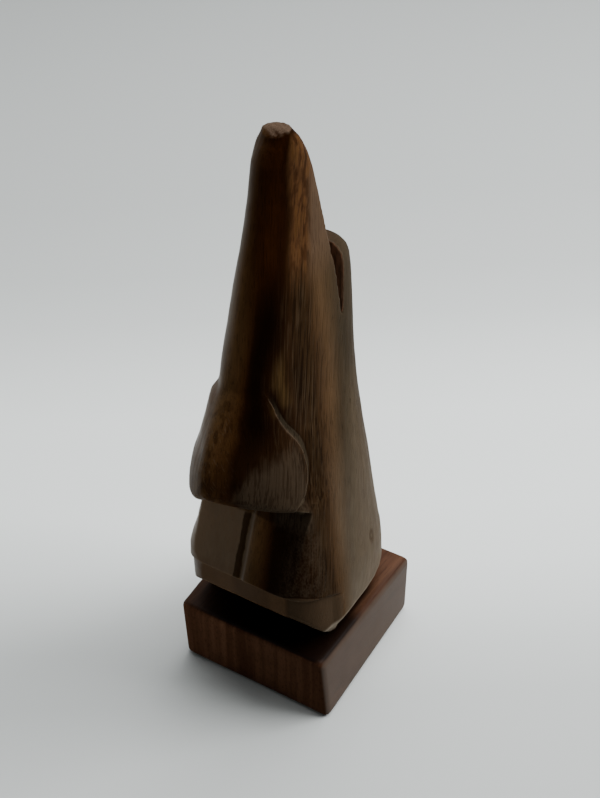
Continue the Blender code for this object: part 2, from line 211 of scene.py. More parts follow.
class Graph:
    """The node tree of a material or a world while it is written."""

    def __init__(self, owner: bpy.types.Material | bpy.types.World) -> None:
        """Starts on an emptied tree.

        Args:
            owner: the material or world that has the tree.
        """
        owner.use_nodes = True
        self.owner = owner
        self.tree = owner.node_tree
        self.tree.nodes.clear()

    def node(
        self,
        kind: str,
        settings: dict[str, object] | None = None,
        inputs: dict[str | int, object] | None = None,
        output: str | int = 0,
    ) -> Wire | None:
        """Adds any node.

        Args:
            kind: the node's type name.
            settings: its properties; "stops" gives the places and colours of a ramp.
            inputs: values or wires for its sockets, by name or number.
            output: the output wanted, by name or number.

        Returns:
            That output, or None for a node without outputs.
        """
        made = self.tree.nodes.new(kind)
        for name, value in (settings or {}).items():
            if name == "stops":
                self._fill_ramp(made.color_ramp.elements, value)
            else:
                setattr(made, name, value)
        for name, value in (inputs or {}).items():
            socket = made.inputs[name]
            if isinstance(value, Wire):
                self.tree.links.new(value.socket, socket)
            elif socket.type == "RGBA":
                socket.default_value = (*value, 1.0)
            else:
                socket.default_value = value
        return Wire(self, made.outputs[output]) if made.outputs else None

    @staticmethod
    def _fill_ramp(scale: bpy.types.ColorRampElements, stops: list[tuple[float, Colour]]) -> None:
        """Sets the stops of a colour ramp.

        Args:
            scale: the ramp's elements.
            stops: places with their colours.
        """
        scale.remove(scale[-1])
        scale[0].position = stops[0][0]
        scale[0].color = (*stops[0][1], 1.0)
        for place, colour in stops[1:]:
            scale.new(place).color = (*colour, 1.0)

    def blend(self, share: Wire | float, first: Wire | Colour, second: Wire | Colour) -> Wire:
        """Mixes two colours: a share of 0 gives the first and 1 the second."""
        inputs = {0: share, 6: first, 7: second}
        return self.node("ShaderNodeMix", {"data_type": "RGBA"}, inputs, 2)

    def scaled(self, colour: Wire, factor: Wire | float) -> Wire:
        """Makes a colour or vector stronger or weaker."""
        return self.node("ShaderNodeVectorMath", {"operation": "SCALE"}, {0: colour, "Scale": factor})

    def parts(self, vector: Wire) -> Spot:
        """Takes a vector apart into x, y and z."""
        split = self.node("ShaderNodeSeparateXYZ", {}, {0: vector}).socket.node
        return tuple(Wire(self, output) for output in split.outputs)

    def place_mm(self) -> Spot:
        """Gives the place on the piece in millimetres."""
        return self.parts(self.scaled(self.node("ShaderNodeTexCoord", output="Object"), 1000.0))

    def normal(self) -> Spot:
        """Gives the direction that the surface faces."""
        return self.parts(self.node("ShaderNodeNewGeometry", output="Normal"))

    def stored(self, name: str) -> Wire:
        """Reads a value that is stored at the points of a mesh."""
        return self.node("ShaderNodeAttribute", {"attribute_name": name}, {}, "Fac")

    def noise(self, place: Spot, noise: Noise) -> Wire:
        """Adds soft noise, about 0.5 on average.

        Args:
            place: the coordinates that it follows, in millimetres.
            noise: its size, detail and seed.

        Returns:
            The noise.
        """
        x, y, z = (part * (1.0 / blob) for part, blob in zip(place, noise.blob_mm))
        vector = self.node("ShaderNodeCombineXYZ", {}, {0: x + noise.seed, 1: y, 2: z})
        inputs = {"Vector": vector, "Scale": 1.0, "Detail": noise.detail}
        return self.node("ShaderNodeTexNoise", {}, inputs)

    def bump(self, height_mm: Wire) -> Wire:
        """Turns a height in millimetres into a surface direction."""
        inputs = {"Strength": 1.0, "Distance": 0.001, "Height": height_mm}
        return self.node("ShaderNodeBump", {}, inputs)

    def principled(self, inputs: dict[str | int, object]) -> bpy.types.Material:
        """Makes the surface one Principled shader.

        Args:
            inputs: the shader's inputs.

        Returns:
            The material.
        """
        shader = self.node("ShaderNodeBsdfPrincipled", {}, inputs)
        self.node("ShaderNodeOutputMaterial", {}, {"Surface": shader})
        return self.owner


# ---- finishes


@dataclass(frozen=True)
class Grain:
    """How the wood lies in a block: its lean and the middle of its growth rings."""

    lean: tuple[float, float]  # drift of the grain across x and y for each mm along it
    level_mm: float  # the level where that drift is nothing
    heart_mm: tuple[float, float]  # middle of the rings at that level
    waviness_mm: float
    wave: Noise = Noise((17.0, 17.0, 60.0), 2.0, 3.7)
    ripple: Noise = Noise((4.0, 4.0, 26.0), 2.0, 9.1)

    def along(self, graph: Graph, spot: Spot) -> tuple[Spot, Wire]:
        """Gives the coordinates that follow the grain.

        Args:
            graph: the material's graph.
            spot: the place in millimetres, along the grain last.

        Returns:
            The straightened coordinates, and the distance from the heart of the rings.
        """
        run = spot[2] - self.level_mm
        first = spot[0] - run * self.lean[0]
        second = spot[1] - run * self.lean[1]
        place = (first, second, spot[2])
        wave = graph.noise(place, self.wave) - 0.5
        ripple = graph.noise(place, self.ripple) - 0.5
        first_off = first - self.heart_mm[0]
        second_off = second - self.heart_mm[1]
        radius = (first_off * first_off + second_off * second_off) ** 0.5
        return place, radius + wave * self.waviness_mm * 2.0 + ripple * self.waviness_mm * 0.55


@dataclass
class Layers:
    """A wood's colour while its layers are laid over each other."""

    graph: Graph
    spot: Spot
    colour: Wire
    streaks: Wire
    pores: Wire
    mottle: Wire

    def within(self, zone: Zone) -> Wire:
        """Gives how far the surface lies inside a region."""
        return zone.share(self.spot, Wire.rise)

    def lay(self, share: Wire, colour: Wire | Colour) -> None:
        """Covers a share of the colour so far with another colour."""
        self.colour = self.graph.blend(share, self.colour, colour)

    def tone(self, factor: Wire) -> None:
        """Makes the colour so far lighter or darker."""
        self.colour = self.graph.scaled(self.colour, factor)


@dataclass(frozen=True)
class Vein:
    """Colour that follows some growth rings through a region."""

    middle: float  # its ring
    half: float  # rings until it has faded out
    zone: Zone
    colour: Colour
    even: float  # its share where the wood isn't mottled
    mottled: float  # share that the mottling adds


@dataclass(frozen=True)
class CarvedRosewood:
    """Waxed dark rosewood of the carving, with a near-black band down the nose."""

    name: str = "carved_rosewood"
    roughness: float = 0.42
    coat_roughness: float = 0.38

    # growth rings, numbered by their radius in millimetres at the grain's level
    grain: Grain = Grain((-0.1, 0.28), 100.0, (-25.0, -22.0), 1.3)
    inner_lean: float = -0.035  # outwards for each mm of height
    outer_lean: float = 0.103
    lean_rings: Span = (33.0, 41.0)
    dark_ring: float = 33.0
    bend_reach: float = 8.0
    bends: tuple[tuple[Zone, float], ...] = (
        (Zone(z=((105.0, 110.0), (125.0, 114.0))), 1.2),
        (Zone(z=((106.0, 98.0),)), -1.3),
    )
    last_ring: float = 80.0
    bands: tuple[tuple[float, Colour], ...] = (
        (0.0, (0.08, 0.044, 0.022)), (17.0, (0.084, 0.046, 0.023)), (19.5, (0.078, 0.042, 0.02)),
        (21.5, (0.076, 0.042, 0.02)), (24.0, (0.08, 0.046, 0.021)), (26.5, (0.067, 0.034, 0.0128)),
        (28.5, (0.053, 0.0245, 0.0088)), (29.8, (0.031, 0.0125, 0.0038)), (31.0, (0.0072, 0.0024, 0.0006)),
        (32.2, (0.0032, 0.0011, 0.0003)), (33.6, (0.003, 0.001, 0.0003)), (35.2, (0.0085, 0.0032, 0.001)),
        (37.2, (0.0182, 0.0083, 0.0034)), (39.0, (0.023, 0.0122, 0.0054)), (40.6, (0.021, 0.011, 0.0045)),
        (41.6, (0.028, 0.014, 0.0058)), (43.0, (0.05, 0.027, 0.0125)), (44.4, (0.061, 0.035, 0.017)),
        (46.0, (0.05, 0.031, 0.016)), (47.4, (0.037, 0.025, 0.014)), (48.8, (0.046, 0.033, 0.0195)),
        (50.5, (0.058, 0.042, 0.026)), (54.0, (0.057, 0.041, 0.026)), (60.0, (0.062, 0.045, 0.03)),
        (76.0, (0.056, 0.039, 0.026)),
    )

    # noise, most of it along the grain
    streaks: Noise = Noise((0.4, 0.4, 19.0), 2.0, 1.3)
    threads: Noise = Noise((0.5, 0.5, 13.0), 1.0, 6.4)
    pores: Noise = Noise((0.3, 0.3, 4.0), 1.0, 5.2)
    patches: Noise = Noise((5.0, 5.0, 18.0), 3.0, 8.8)
    mottle: Noise = Noise((1.7, 1.7, 4.5), 3.0, 2.6)
    specks: Noise = Noise((0.45, 0.45, 0.7), 1.0, 7.3)
    cuts: Noise = Noise((0.28, 0.8, 1.9), 0.0, 4.9)

    # colours of the wood
    streak: Colour = (0.0055, 0.0024, 0.0009)
    thread: Colour = (0.062, 0.042, 0.024)
    orange: Colour = (0.092, 0.042, 0.0125)
    amber: Colour = (0.068, 0.03, 0.012)
    dusty: Colour = (0.08, 0.05, 0.031)
    faded_band: Colour = (0.015, 0.0062, 0.0022)
    red_band: Colour = (0.0125, 0.0038, 0.0008)
    wine: Colour = (0.023, 0.007, 0.0016)
    stripe: Colour = (0.042, 0.024, 0.0085)

    # colours of one place
    patch: Colour = (0.039, 0.0265, 0.0165)
    # painted shade for the lip's groove, and a painted highlight for the ridge on its right
    groove_shade: Colour = (0.024, 0.0115, 0.0035)
    ridge_highlight: Colour = (0.115, 0.085, 0.058)
    # pale wood of the lip's left side, partly painted light where the nose shades it
    pale_lip_and_light: Colour = (0.15, 0.104, 0.067)
    chin: Colour = (0.078, 0.0445, 0.0235)
    chin_middle: Colour = (0.048, 0.028, 0.016)
    cheek: Colour = (0.05, 0.032, 0.0185)
    knot: Colour = (0.034, 0.02, 0.01)
    # pale grey for the right side, partly a painted sheen
    faded_and_sheen: Colour = (0.15, 0.12, 0.088)
    # red-brown sawn face in the slot, partly painted light that lifts its shade
    sawn_and_painted_light: Colour = (0.16, 0.075, 0.042)
    end_grain: Colour = (0.085, 0.056, 0.038)

    # colours of wear, partly painted light
    scratch: Colour = (0.11, 0.08, 0.055)
    # pale colour for convex edges; on the carving, partly a painted highlight
    worn: Colour = (0.17, 0.125, 0.085)
    # near-white line of the rubbed foot, partly a painted highlight
    rubbed_highlight: Colour = (0.3, 0.25, 0.19)
    # pale dust for the creases, partly painted light
    dust_and_light: Colour = (0.074, 0.056, 0.036)

    # where the wood changes
    high: Span = (128.0, 142.0)
    beside_band: Zone = Zone(z=((101.0, 104.0), (119.0, 111.0)))
    veins: tuple[Vein, ...] = (
        Vein(32.8, 5.5, Zone(z=((102.0, 91.0),)), faded_band, 0.38, 0.6),
        Vein(31.0, 6.5, Zone(z=((124.0, 146.0),)), wine, 0.35, 1.0),
        Vein(36.2, 1.5, beside_band, stripe, 0.75, 0.0),
        Vein(38.6, 1.4, beside_band, streak, 0.55, 0.0),
    )
    amber_zone: Zone = Zone(z=(high,), ring=((34.8, 37.8), (43.5, 41.0)))
    dusty_zone: Zone = Zone(z=(high,), ring=((41.0, 43.5), (53.0, 47.0)))
    bulb_zone: Zone = Zone(z=((58.0, 66.0), (122.0, 100.0)))
    fibrous_ring: float = 39.3
    slab: Zone = Zone(y=((7.0, 10.0),), z=((90.0, 104.0),))
    waist: Zone = Zone(y=((6.0, -2.0),), z=((86.0, 98.0), (150.0, 136.0)))

    # the nose's right wing
    wing_zone: Zone = Zone(y=((-16.0, -19.0),), z=((63.0, 66.0),))
    wing_top: float = 91.0
    wing_front: Span = (-30.0, -36.0)
    wing_fall: float = 5.0  # of its upper edge towards the front

    # the lip, and the line under it where the chin starts
    line_level: float = 46.3
    line_front: float = -28.5
    line_fall: float = 0.581  # for each mm towards the back
    line_softness: float = 0.5
    lip_zone: Zone = Zone(y=((-15.0, -18.0),), z=((64.9, 64.0),))
    # painted light on the top of the lip, under the nose
    upper_lip_painted_light: Zone = Zone(x=((14.0, 4.0),), z=((47.0, 60.0),))
    left_lip: Zone = Zone(x=((4.0, -3.0),), z=((36.0, 52.0),))
    right_lip: Zone = Zone(x=((10.0, 16.0),))
    groove_place: Span = (-1.3, 1.6)  # middle and half width of the groove's painted shade
    ridge_place: Span = (0.6, 1.0)

    # the chin, the foot and the knot
    below_lip: Zone = Zone(y=((-11.0, -12.5),))
    chin_zone: Zone = Zone(x=((15.6, 13.6),), z=((36.0, 38.0),))
    chin_centre: Zone = Zone(x=((-5.0, -1.0), (11.0, 7.0)))
    cheek_zone: Zone = Zone(x=((13.8, 15.6),))
    right_side: Zone = Zone(x=((13.0, 18.0),), y=((-12.0, -4.0),))
    fade_and_sheen_high: Span = (95.0, 50.0)
    fade_and_sheen_low: Span = (46.0, 25.0)
    rubbed_highlit_foot: Zone = Zone(x=((9.0, 14.0),), z=((29.2, 27.0), (22.6, 24.2)))
    knot_place: Span = (7.5, 44.4)  # towards the back, and up
    knot_height: float = 0.7
    knot_side: Zone = Zone(x=((14.0, 18.0),))

    # wear, painted light in the creases and the slot, cut faces and wax
    handled_zone: Zone = Zone(z=((70.0, 80.0), (110.0, 100.0)))
    handled_ring: float = 25.5
    creases: Zone = Zone(x=((4.0, 8.0),), z=((62.0, 68.0), (108.0, 98.0)))
    sawn_zone: Zone = Zone(y=((3.0, 6.0),), z=((90.0, 94.0),))
    top_face: Zone = Zone(z=((163.0, 165.5),))
    dull_bulb: Zone = Zone(y=((-10.0, -20.0),), z=((66.0, 70.0), (97.0, 86.0)))

    def build(self) -> bpy.types.Material:
        """Writes the material.

        Returns:
            The material.
        """
        graph = Graph(bpy.data.materials.new(self.name))
        spot = graph.place_mm()
        place, radius = self.grain.along(graph, spot)
        ring = self._ring(spot, radius)
        patches = graph.noise(place, self.patches)
        fine = [graph.noise(place, noise) for noise in (self.streaks, self.pores, self.mottle)]
        wood = Layers(graph, (*spot, ring), self._banded(graph, ring), *fine)
        self._veins(wood)
        self._fibres(wood, graph.noise(place, self.threads))
        wood.tone(0.7 + patches * 0.6)
        wood.tone(1.0 - wood.within(self.slab) * 0.3)
        wood.tone(1.0 + wood.within(self.waist) * 0.24)
        for layer in (self._wing, self._lip, self._chin, self._side, self._worn, self._cut_faces):
            layer(wood)
        drawn = wood.streaks - 0.5
        sunken = drawn * 0.05 + wood.pores.rise(0.58, 0.7) * 0.03
        inputs = {
            "Base Color": wood.colour,
            "Roughness": self.roughness + drawn * 0.25 + (patches - 0.5) * 0.12,
            "Specular IOR Level": WOOD_SHEEN,
            "Coat Weight": self._wax(wood) * (0.5 + patches),
            "Coat Roughness": self.coat_roughness,
            "Normal": graph.bump((wood.mottle - 0.5) * 0.03 - sunken),
        }
        return graph.principled(inputs)

    def _ring(self, spot: Spot, radius: Wire) -> Wire:
        """Numbers the rings, which lean, and whose dark band bends on its way down.

        Args:
            spot: the place in millimetres.
            radius: the distance from the heart of the rings.

        Returns:
            The ring's number.
        """
        lean = radius.rise(*self.lean_rings) * (self.outer_lean - self.inner_lean) + self.inner_lean
        ring = radius + (spot[2] - self.grain.level_mm) * lean
        bend = sum(zone.share(spot, Wire.rise) * size for zone, size in self.bends)
        return ring + ring.hump(self.dark_ring, self.bend_reach) * bend

    def _banded(self, graph: Graph, ring: Wire) -> Wire:
        """Gives each growth ring its colour."""
        stops = [(at / self.last_ring, colour) for at, colour in self.bands]
        return graph.node("ShaderNodeValToRGB", {"stops": stops}, {0: ring * (1.0 / self.last_ring)})

    def _veins(self, wood: Layers) -> None:
        """Lays the veins, with orange-brown mottling left of the band and at the top.

        Args:
            wood: its layers.
        """
        ring, mottle = wood.spot[3], wood.mottle
        for vein in self.veins:
            share = ring.hump(vein.middle, vein.half) * wood.within(vein.zone)
            wood.lay(share * (mottle * vein.mottled + vein.even), vein.colour)
        top = wood.within(self.amber_zone)
        bulb = ring.hump(26.5, 6.5) * wood.within(self.bulb_zone)
        wood.lay(top * 0.85, self.amber)
        wood.lay(wood.within(self.dusty_zone) * 0.8, self.dusty)
        wood.lay(mottle.rise(0.46, 0.66) * (bulb * 0.14 + top * 0.45), self.orange)
        wood.lay(mottle.rise(0.54, 0.38) * (bulb * 0.55 + top * 0.6), self.red_band)

    def _fibres(self, wood: Layers, threads: Wire) -> None:
        """Draws the pale threads, the dark streaks and the pores.

        Args:
            wood: its layers.
            threads: noise of the pale threads.
        """
        busy = wood.spot[3].hump(self.fibrous_ring, 6.5) * (1.0 - wood.spot[2].rise(*self.high) * 0.75)
        wood.lay(threads.rise(0.5, 0.66) * busy * 0.34, self.thread)
        wood.lay(wood.streaks.rise(0.48, 0.62) * (busy * 0.62 + 0.16), self.streak)
        wood.lay(wood.pores.rise(0.6, 0.7) * 0.35, self.streak)

    def _wing(self, wood: Layers) -> None:
        """Greys the lower part of the nose's right wing, up to a ragged edge.

        Args:
            wood: its layers.
        """
        x, y, z, _ = wood.spot
        ragged = wood.mottle - 0.5
        top = self.wing_top - y.rise(*self.wing_front) * self.wing_fall + ragged * 7.0
        wing = (top - z).rise(-3.0, 2.2) * (x + ragged * 5.0).rise(5.4, 9.0) * wood.within(self.wing_zone)
        wood.lay(wing * (0.88 - wood.streaks.rise(0.46, 0.62) * 0.5), self.patch)

    def _above_line(self, wood: Layers) -> Wire:
        """Gives the height above the line between lip and chin.

        Args:
            wood: its layers.

        Returns:
            The height in millimetres.
        """
        x, y, z, _ = wood.spot
        lift = x.rise(*CHIN_LIFT_ACROSS) * CHIN_LIFT_MM
        return z - (self.line_level - (y - self.line_front) * self.line_fall + lift)

    def _lip(self, wood: Layers) -> None:
        """Colours the lip: pale at the left, speckled grey at the right; paints light under the nose, and
        shade and a highlight along the groove.

        Args:
            wood: its layers.
        """
        x, mottle = wood.spot[0], wood.mottle
        lip = self._above_line(wood).rise(0.0, self.line_softness) * wood.within(self.lip_zone)
        # painted light: the upper lip lightened where the nose's shadow falls on it
        wood.tone(1.0 + lip * wood.within(self.upper_lip_painted_light) * 0.8)
        # pale wood at the lip's left, partly painted light over the nose's shadow
        pale_and_light = lip * wood.within(self.left_lip) * (0.3 + mottle * 0.5 + wood.streaks * 0.4)
        wood.lay(pale_and_light, self.pale_lip_and_light)
        speckled = (mottle * 0.5 + wood.graph.noise(wood.spot[:3], self.specks) * 0.5).rise(0.34, 0.72)
        wood.lay(lip * wood.within(self.right_lip) * speckled * 0.7, self.patch)
        wavy = x + (mottle - 0.5) * 1.4
        # painted shade down the groove, then a painted highlight on the ridge at its right edge
        groove_shade = lip * wavy.hump(*self.groove_place).rise(0.1, 0.6)
        wood.lay(groove_shade * 0.9, self.groove_shade)
        ridge_highlight = lip * (wavy + mottle * 0.5).hump(*self.ridge_place) * (0.25 + mottle * 0.7)
        wood.lay(ridge_highlight, self.ridge_highlight)

    def _chin(self, wood: Layers) -> None:
        """Colours the plain chin under the lip, and the cheek beside it.

        Args:
            wood: its layers.
        """
        graph = wood.graph
        below = self._above_line(wood).rise(0.0, -self.line_softness) * wood.within(self.below_lip)
        plain = graph.blend(wood.within(self.chin_centre) * 0.75, self.chin, self.chin_middle)
        plain = graph.scaled(plain, 0.75 + wood.streaks * 0.3 + wood.mottle * 0.25)
        wood.lay(below * wood.within(self.chin_zone) * 0.85, plain)
        wood.lay(below * wood.within(self.cheek_zone) * 0.8, self.cheek)

    def _side(self, wood: Layers) -> None:
        """Fades the right side towards its rubbed lower edge, partly as painted sheen and a painted
        highlight, and puts a knot in it.

        Args:
            wood: its layers.
        """
        mottle = wood.mottle
        _, y, z, _ = wood.spot
        # paler towards the bottom of the right side, partly painted sheen; the foot's rubbed edge is
        # partly a painted highlight
        low = z.rise(*self.fade_and_sheen_high) * 0.22 + z.rise(*self.fade_and_sheen_low) * 0.35
        wood.lay(low * wood.within(self.right_side) * (0.5 + mottle), self.faded_and_sheen)
        wood.lay(wood.within(self.rubbed_highlit_foot) * (0.55 + mottle * 0.4), self.rubbed_highlight)
        behind = y - self.knot_place[0]
        above = (z - self.knot_place[1]) * self.knot_height
        knot = (behind * behind + above * above) ** 0.5 + (mottle - 0.5) * 1.2
        wood.lay(knot.hump(1.0, 1.1) * wood.within(self.knot_side) * 0.6, self.knot)

    def _worn(self, wood: Layers) -> None:
        """Adds knife marks, rubbed edges that are partly a painted highlight, pale dust that is partly
        painted light in the creases, and painted shade in the hollows.

        Args:
            wood: its layers.
        """
        graph, mottle = wood.graph, wood.mottle
        x, y, z, ring = wood.spot
        cuts = graph.noise((x * 0.8 + z * 0.5, y, z), self.cuts)
        handled = ring.hump(self.handled_ring, 6.5) * wood.within(self.handled_zone)
        wood.lay(cuts.rise(0.68, 0.74) * handled * 0.34, self.scratch)
        edge, hollow = graph.stored(EDGE_MARK), graph.stored(HOLLOW_MARK)
        # rubbed edges lightened, more on the lit right side: partly a painted highlight
        lit_side = (x + z * 0.1).rise(-4.0, 14.0)
        rubbed_highlight = edge.rise(0.1, 0.34) * (mottle + lit_side * 0.25).rise(0.42, 0.72)
        wood.lay(rubbed_highlight * 0.36, self.worn)
        # pale dust in the creases, partly painted light that lifts their shade
        dust_and_light = hollow.rise(-0.006, -0.03) * wood.within(self.creases)
        wood.lay(dust_and_light * (0.65 - wood.streaks.rise(0.5, 0.65) * 0.3), self.dust_and_light)
        # painted shade in the hollows
        wood.tone(1.0 - edge.rise(-0.14, -0.4) * 0.35)

    def _cut_faces(self, wood: Layers) -> None:
        """Colours the sawn face inside the slot, partly painted light over its shade, and the end grain on
        top.

        Args:
            wood: its layers.
        """
        _, along, up = wood.graph.normal()
        # painted light: the slot's shaded sawn face lightened, over its red-brown wood
        sawn_and_painted_light = along.rise(-0.5, -0.8) * wood.within(self.sawn_zone)
        wood.lay(sawn_and_painted_light * (0.9 - wood.streaks.rise(0.45, 0.6) * 0.5), self.sawn_and_painted_light)
        top = up.rise(0.8, 0.9) * wood.within(self.top_face)
        wood.lay(top * (0.95 - wood.pores.rise(0.5, 0.6) * 0.4), self.end_grain)

    def _wax(self, wood: Layers) -> Wire:
        """Waxes all but the dark band, and most where it faces left.

        Args:
            wood: its layers.

        Returns:
            The share of the wax.
        """
        across, _, _ = wood.graph.normal()
        film = (wood.spot[3] - self.dark_ring).size().rise(2.0, 8.0)
        leftward = across.rise(0.0, -0.7) * 0.42 + across.rise(-0.65, -0.95) * 0.3
        film = film * (0.05 + leftward) * across.rise(0.5, 0.1)
        return film * (1.0 - wood.within(self.dull_bulb) * 0.8)


@dataclass(frozen=True)
class BaseRosewood:
    """Redder rosewood of the base block, whose grain runs from front to back."""

    name: str = "base_rosewood"
    roughness: float = 0.44
    coat_roughness: float = 0.4
    light: Colour = (0.094, 0.043, 0.023)
    dark: Colour = (0.053, 0.022, 0.011)
    pore: Colour = (0.016, 0.006, 0.003)
    # painted shadow on the base's top
    painted_shadow: Colour = (0.0045, 0.0017, 0.0008)
    worn: Colour = (0.15, 0.085, 0.05)
    # grey of a painted sheen on the right face
    haze: Colour = (0.068, 0.055, 0.044)
    grain: Grain = Grain((0.04, 0.02), 0.0, (-260.0, 20.0), 0.5)
    rings: Noise = Noise((2.6, 9.0, 9.0), 3.0, 2.2)
    streaks: Noise = Noise((0.7, 1.6, 26.0), 3.0, 4.1)
    pores: Noise = Noise((0.34, 0.34, 5.0), 1.0, 7.7)
    clouds: Noise = Noise((9.0, 9.0, 9.0), 2.0, 3.3)
    shadow_front: Span = (0.0, -7.0)
    shadow_right: Span = (-24.0, -4.0)
    unshaded_corner: Span = (50.0, 46.0)  # of x less y, greatest at the front right corner
    shadow_strip: Zone = Zone(x=((22.8, 20.8), (8.0, 14.0)), y=((13.0, 5.0),))
    facing: Span = (0.5, 0.9)  # how squarely a face has to look along an axis
    facing_right: Span = (0.4, 0.9)

    def build(self) -> bpy.types.Material:
        """Writes the material.

        Returns:
            The material.
        """
        graph = Graph(bpy.data.materials.new(self.name))
        x, y, z = graph.place_mm()
        place, radius = self.grain.along(graph, (x, z, y))
        rings = graph.noise((radius, place[1] * 0.1, place[2] * 0.1), self.rings)
        fine = [graph.noise(place, noise) for noise in (self.streaks, self.pores)]
        clouds = graph.noise((x, y, z), self.clouds)
        across, along, up = graph.normal()
        ends, top = along.size().rise(*self.facing), up.rise(*self.facing)
        grown = graph.blend(rings.rise(0.34, 0.66), self.dark, self.light)
        wood = Layers(graph, (x, y, z), grown, *fine, clouds)
        wood.lay(wood.streaks.rise(0.5, 0.7) * 0.35, self.pore)
        wood.lay(wood.pores.rise(0.6, 0.7) * 0.4, self.pore)
        wood.tone(0.75 + clouds * 0.5)
        wood.tone(1.0 + ends * (0.4 - x.rise(-20.0, 8.0) * 0.6))
        # painted shade: faces that look up are darker than the sides
        wood.tone(1.0 - top * 0.15)
        # painted shadow on the top under the carving's chin and in a strip along its right foot, kept off
        # the front right corner
        darkened = top * (x - y).rise(*self.unshaded_corner)
        under = y.rise(*self.shadow_front) * (x + clouds * 6.0).rise(*self.shadow_right)
        wood.lay(darkened * under * 0.93, self.painted_shadow)
        wood.lay(darkened * wood.within(self.shadow_strip) * 0.85, self.painted_shadow)
        wood.lay(graph.stored(EDGE_MARK).rise(0.14, 0.5) * clouds * 0.35, self.worn)
        # painted sheen: a grey haze on faces that look to the right
        wood.lay(across.rise(*self.facing_right) * (0.45 + clouds * 0.25), self.haze)
        sunken = (wood.streaks - 0.5) * 0.04 + wood.pores.rise(0.58, 0.7) * 0.03
        inputs = {
            "Base Color": wood.colour,
            "Roughness": self.roughness + (rings - 0.5) * 0.2 + ends * 0.15,
            "Specular IOR Level": WOOD_SHEEN,
            "Coat Weight": across.size().rise(*self.facing_right) * 0.25 + top * 0.2,
            "Coat Roughness": self.coat_roughness,
            "Normal": graph.bump((clouds - 0.5) * 0.04 - sunken),
        }
        return graph.principled(inputs)


@dataclass(frozen=True)
class ScrewSteel:
    """Plain zinc-plated steel with a dull, slightly uneven shine."""

    name: str = "screw_steel"
    colour: Colour = (0.52, 0.5, 0.46)
    darkened: Colour = (0.3, 0.27, 0.23)
    roughness: float = 0.34
    haze: Noise = Noise((1.6, 1.6, 1.6), 3.0, 1.0)
    brushing: Noise = Noise((0.12, 2.4, 2.4), 2.0, 6.0)

    def build(self) -> bpy.types.Material:
        """Writes the material.

        Returns:
            The material.
        """
        graph = Graph(bpy.data.materials.new(self.name))
        place = graph.place_mm()
        haze = graph.noise(place, self.haze)
        brushed = graph.noise(place, self.brushing) - 0.5
        inputs = {
            "Base Color": graph.blend(haze.rise(0.45, 0.7), self.colour, self.darkened),
            "Metallic": 1.0,
            "Roughness": self.roughness + (haze - 0.5) * 0.3 + brushed * 0.12,
            "Normal": graph.bump(brushed * 0.01),
        }
        return graph.principled(inputs)


# ---- mesh helpers


def add_object(name: str, data: bpy.types.ID) -> Piece:
    """Makes an object and puts it in the scene.

    Args:
        name: its name.
        data: its data.

    Returns:
        The object.
    """
    made = bpy.data.objects.new(name, data)
    bpy.context.scene.collection.objects.link(made)
    return made


def add_mesh(name: str, shape: bmesh.types.BMesh) -> Piece:
    """Makes an object of a shape.

    Args:
        name: the object's name.
        shape: the shape, which is freed.

    Returns:
        The object.
    """
    mesh = bpy.data.meshes.new(name)
    shape.to_mesh(mesh)
    shape.free()
    return add_object(name, mesh)


def baked(piece: Piece) -> bpy.types.Mesh:
    """Gives a piece's mesh with its modifiers applied."""
    evaluated = piece.evaluated_get(bpy.context.evaluated_depsgraph_get())
    return bpy.data.meshes.new_from_object(evaluated)


def surface_of(mesh: bpy.types.Mesh) -> tuple[np.ndarray, np.ndarray]:
    """Reads the points of a mesh.

    Args:
        mesh: the mesh.

    Returns:
        The points and their normals, one in a row.
    """
    points, normals = np.empty((2, len(mesh.vertices) * 3), np.float32)
    mesh.vertices.foreach_get("co", points)
    mesh.vertex_normals.foreach_get("vector", normals)
    return points.reshape(-1, 3).astype(float), normals.reshape(-1, 3).astype(float)


def dress(piece: Piece, material: bpy.types.Material) -> None:
    """Gives a piece its finish and its body.

    Args:
        piece: the piece.
        material: its finish.
    """
    piece.data.materials.clear()
    piece.data.materials.append(material)
    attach(piece, BODY)


# ---- sub-assemblies


@dataclass(frozen=True)
class Stray:
    """One way in which handwork strays from the even shape."""

    zone: Zone
    shift_mm: Triple

    def shift(self, spot: np.ndarray) -> np.ndarray:
        """Gives the shift of each point in millimetres, one row for each point."""
        return self.zone.share(spot, slope)[:, None] * np.array(self.shift_mm)


